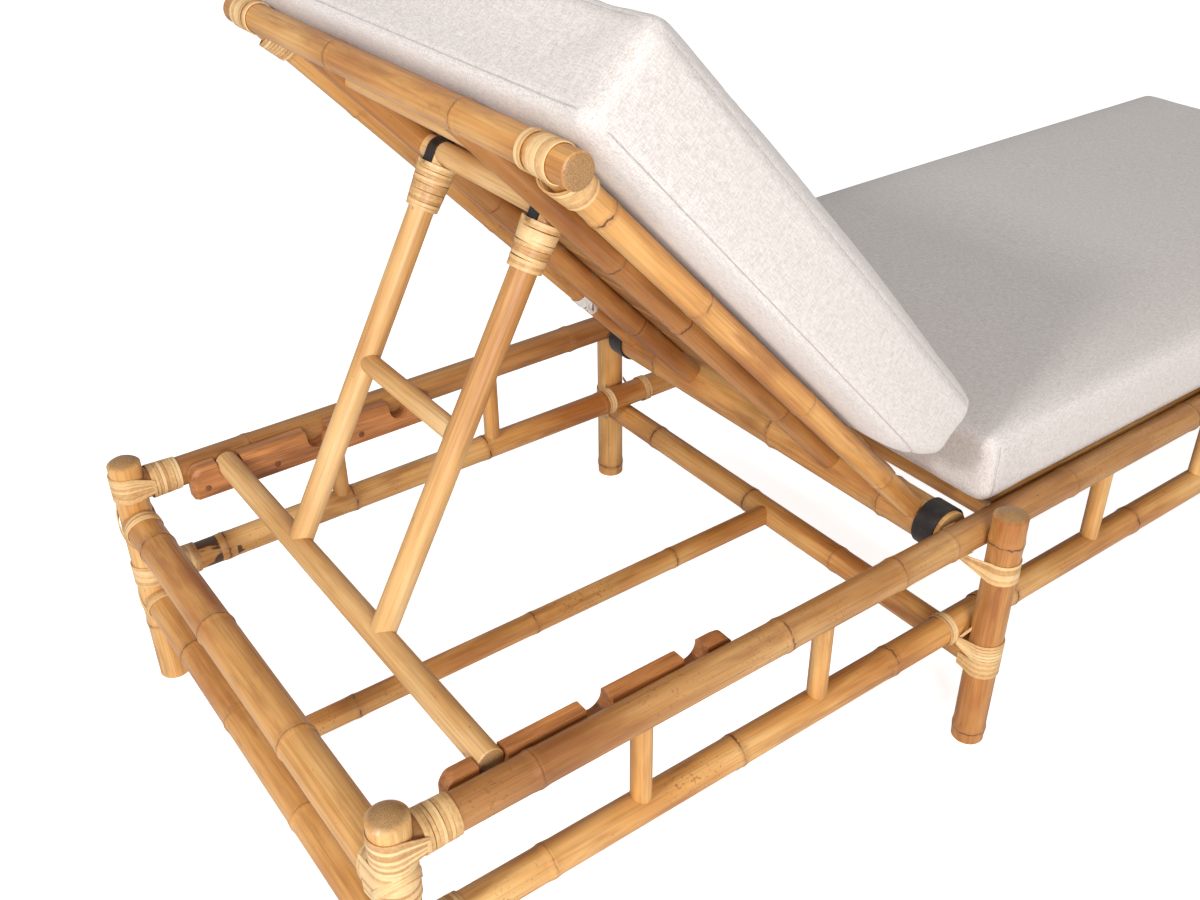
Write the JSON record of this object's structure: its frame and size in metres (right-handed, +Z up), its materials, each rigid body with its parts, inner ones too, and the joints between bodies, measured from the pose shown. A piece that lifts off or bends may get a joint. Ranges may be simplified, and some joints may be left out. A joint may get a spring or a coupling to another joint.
{
  "type": "sun lounger",
  "caption": "Low bamboo pole sun lounger with a backrest propped in notched racks, rattan bindings and two thick linen cushions.",
  "frame": {"origin": "on the floor under the middle of the frame", "axes": "X across, Y from the head end to the foot end, Z up"},
  "size_m": [0.7626, 2.041, 0.8987],
  "materials": {
    "bamboo": "satin varnished bamboo culm",
    "bamboo_slat": "split cane, inner face",
    "rattan": "flat rattan binding, satin",
    "teak": "oiled reddish brown hardwood",
    "leather": "dark leather strap",
    "steel": "plain steel",
    "cushion_cloth": "light grey linen weave",
    "tie_cloth": "white cotton tie"
  },
  "bodies": {
    "frame": {"leg_head_left": "bamboo", "leg_head_right": "bamboo", "leg_mid_left": "bamboo", "leg_mid_right": "bamboo", "leg_foot_left": "bamboo", "leg_foot_right": "bamboo", "upper_rail_left": "bamboo", "upper_rail_right": "bamboo", "lower_rail_left": "bamboo", "lower_rail_right": "bamboo", "head_end_rail_upper": "bamboo", "head_end_rail_lower": "bamboo", "foot_end_rail_upper": "bamboo", "foot_end_rail_lower": "bamboo", "mid_cross_rail": "bamboo", "centre_stretcher": "bamboo", "spacer_posts_left": "bamboo", "spacer_posts_right": "bamboo", "seat_cross_bars": "bamboo", "seat_centre_pole": "bamboo", "seat_slats": "bamboo_slat", "seat_ledge_left": "bamboo_slat", "seat_ledge_right": "bamboo_slat", "rack_left": "teak", "rack_right": "teak", "rack_plugs": "teak", "pivot_pins": "steel", "head_corner_bindings": "rattan", "foot_corner_bindings": "rattan", "mid_leg_bindings": "rattan", "seat_cushion": "cushion_cloth"},
    "backrest": {"pivot_bar": "bamboo", "head_rail": "bamboo", "back_side_rail_left": "bamboo", "back_side_rail_right": "bamboo", "back_pole_left": "bamboo", "back_pole_right": "bamboo", "back_ledges": "bamboo", "back_crossbar": "bamboo", "prop_bar": "bamboo", "back_slats": "bamboo_slat", "pivot_cuff_left": "leather", "pivot_cuff_right": "leather", "cuff_screws": "steel", "head_rail_bindings": "rattan", "back_cushion": "cushion_cloth", "cushion_tie": "tie_cloth"},
    "prop": {"prop_foot_bar": "bamboo", "prop_strut_left": "bamboo", "prop_strut_right": "bamboo", "prop_rung": "bamboo", "prop_strap_left": "leather", "prop_strap_right": "leather", "prop_bindings": "rattan"}
  },
  "joints": [
    {"name": "backrest_hinge", "type": "hinge", "parent": "frame", "child": "backrest", "pos_m": [0, -0.29, 0.275], "axis": [-1, 0, 0], "range_deg": [0, 30]},
    {"name": "prop_hinge", "type": "hinge", "parent": "backrest", "child": "prop", "pos_m": [0, -0.67403, 0.68395], "axis": [-1, 0, 0], "range_deg": [0, 94]}
  ]
}
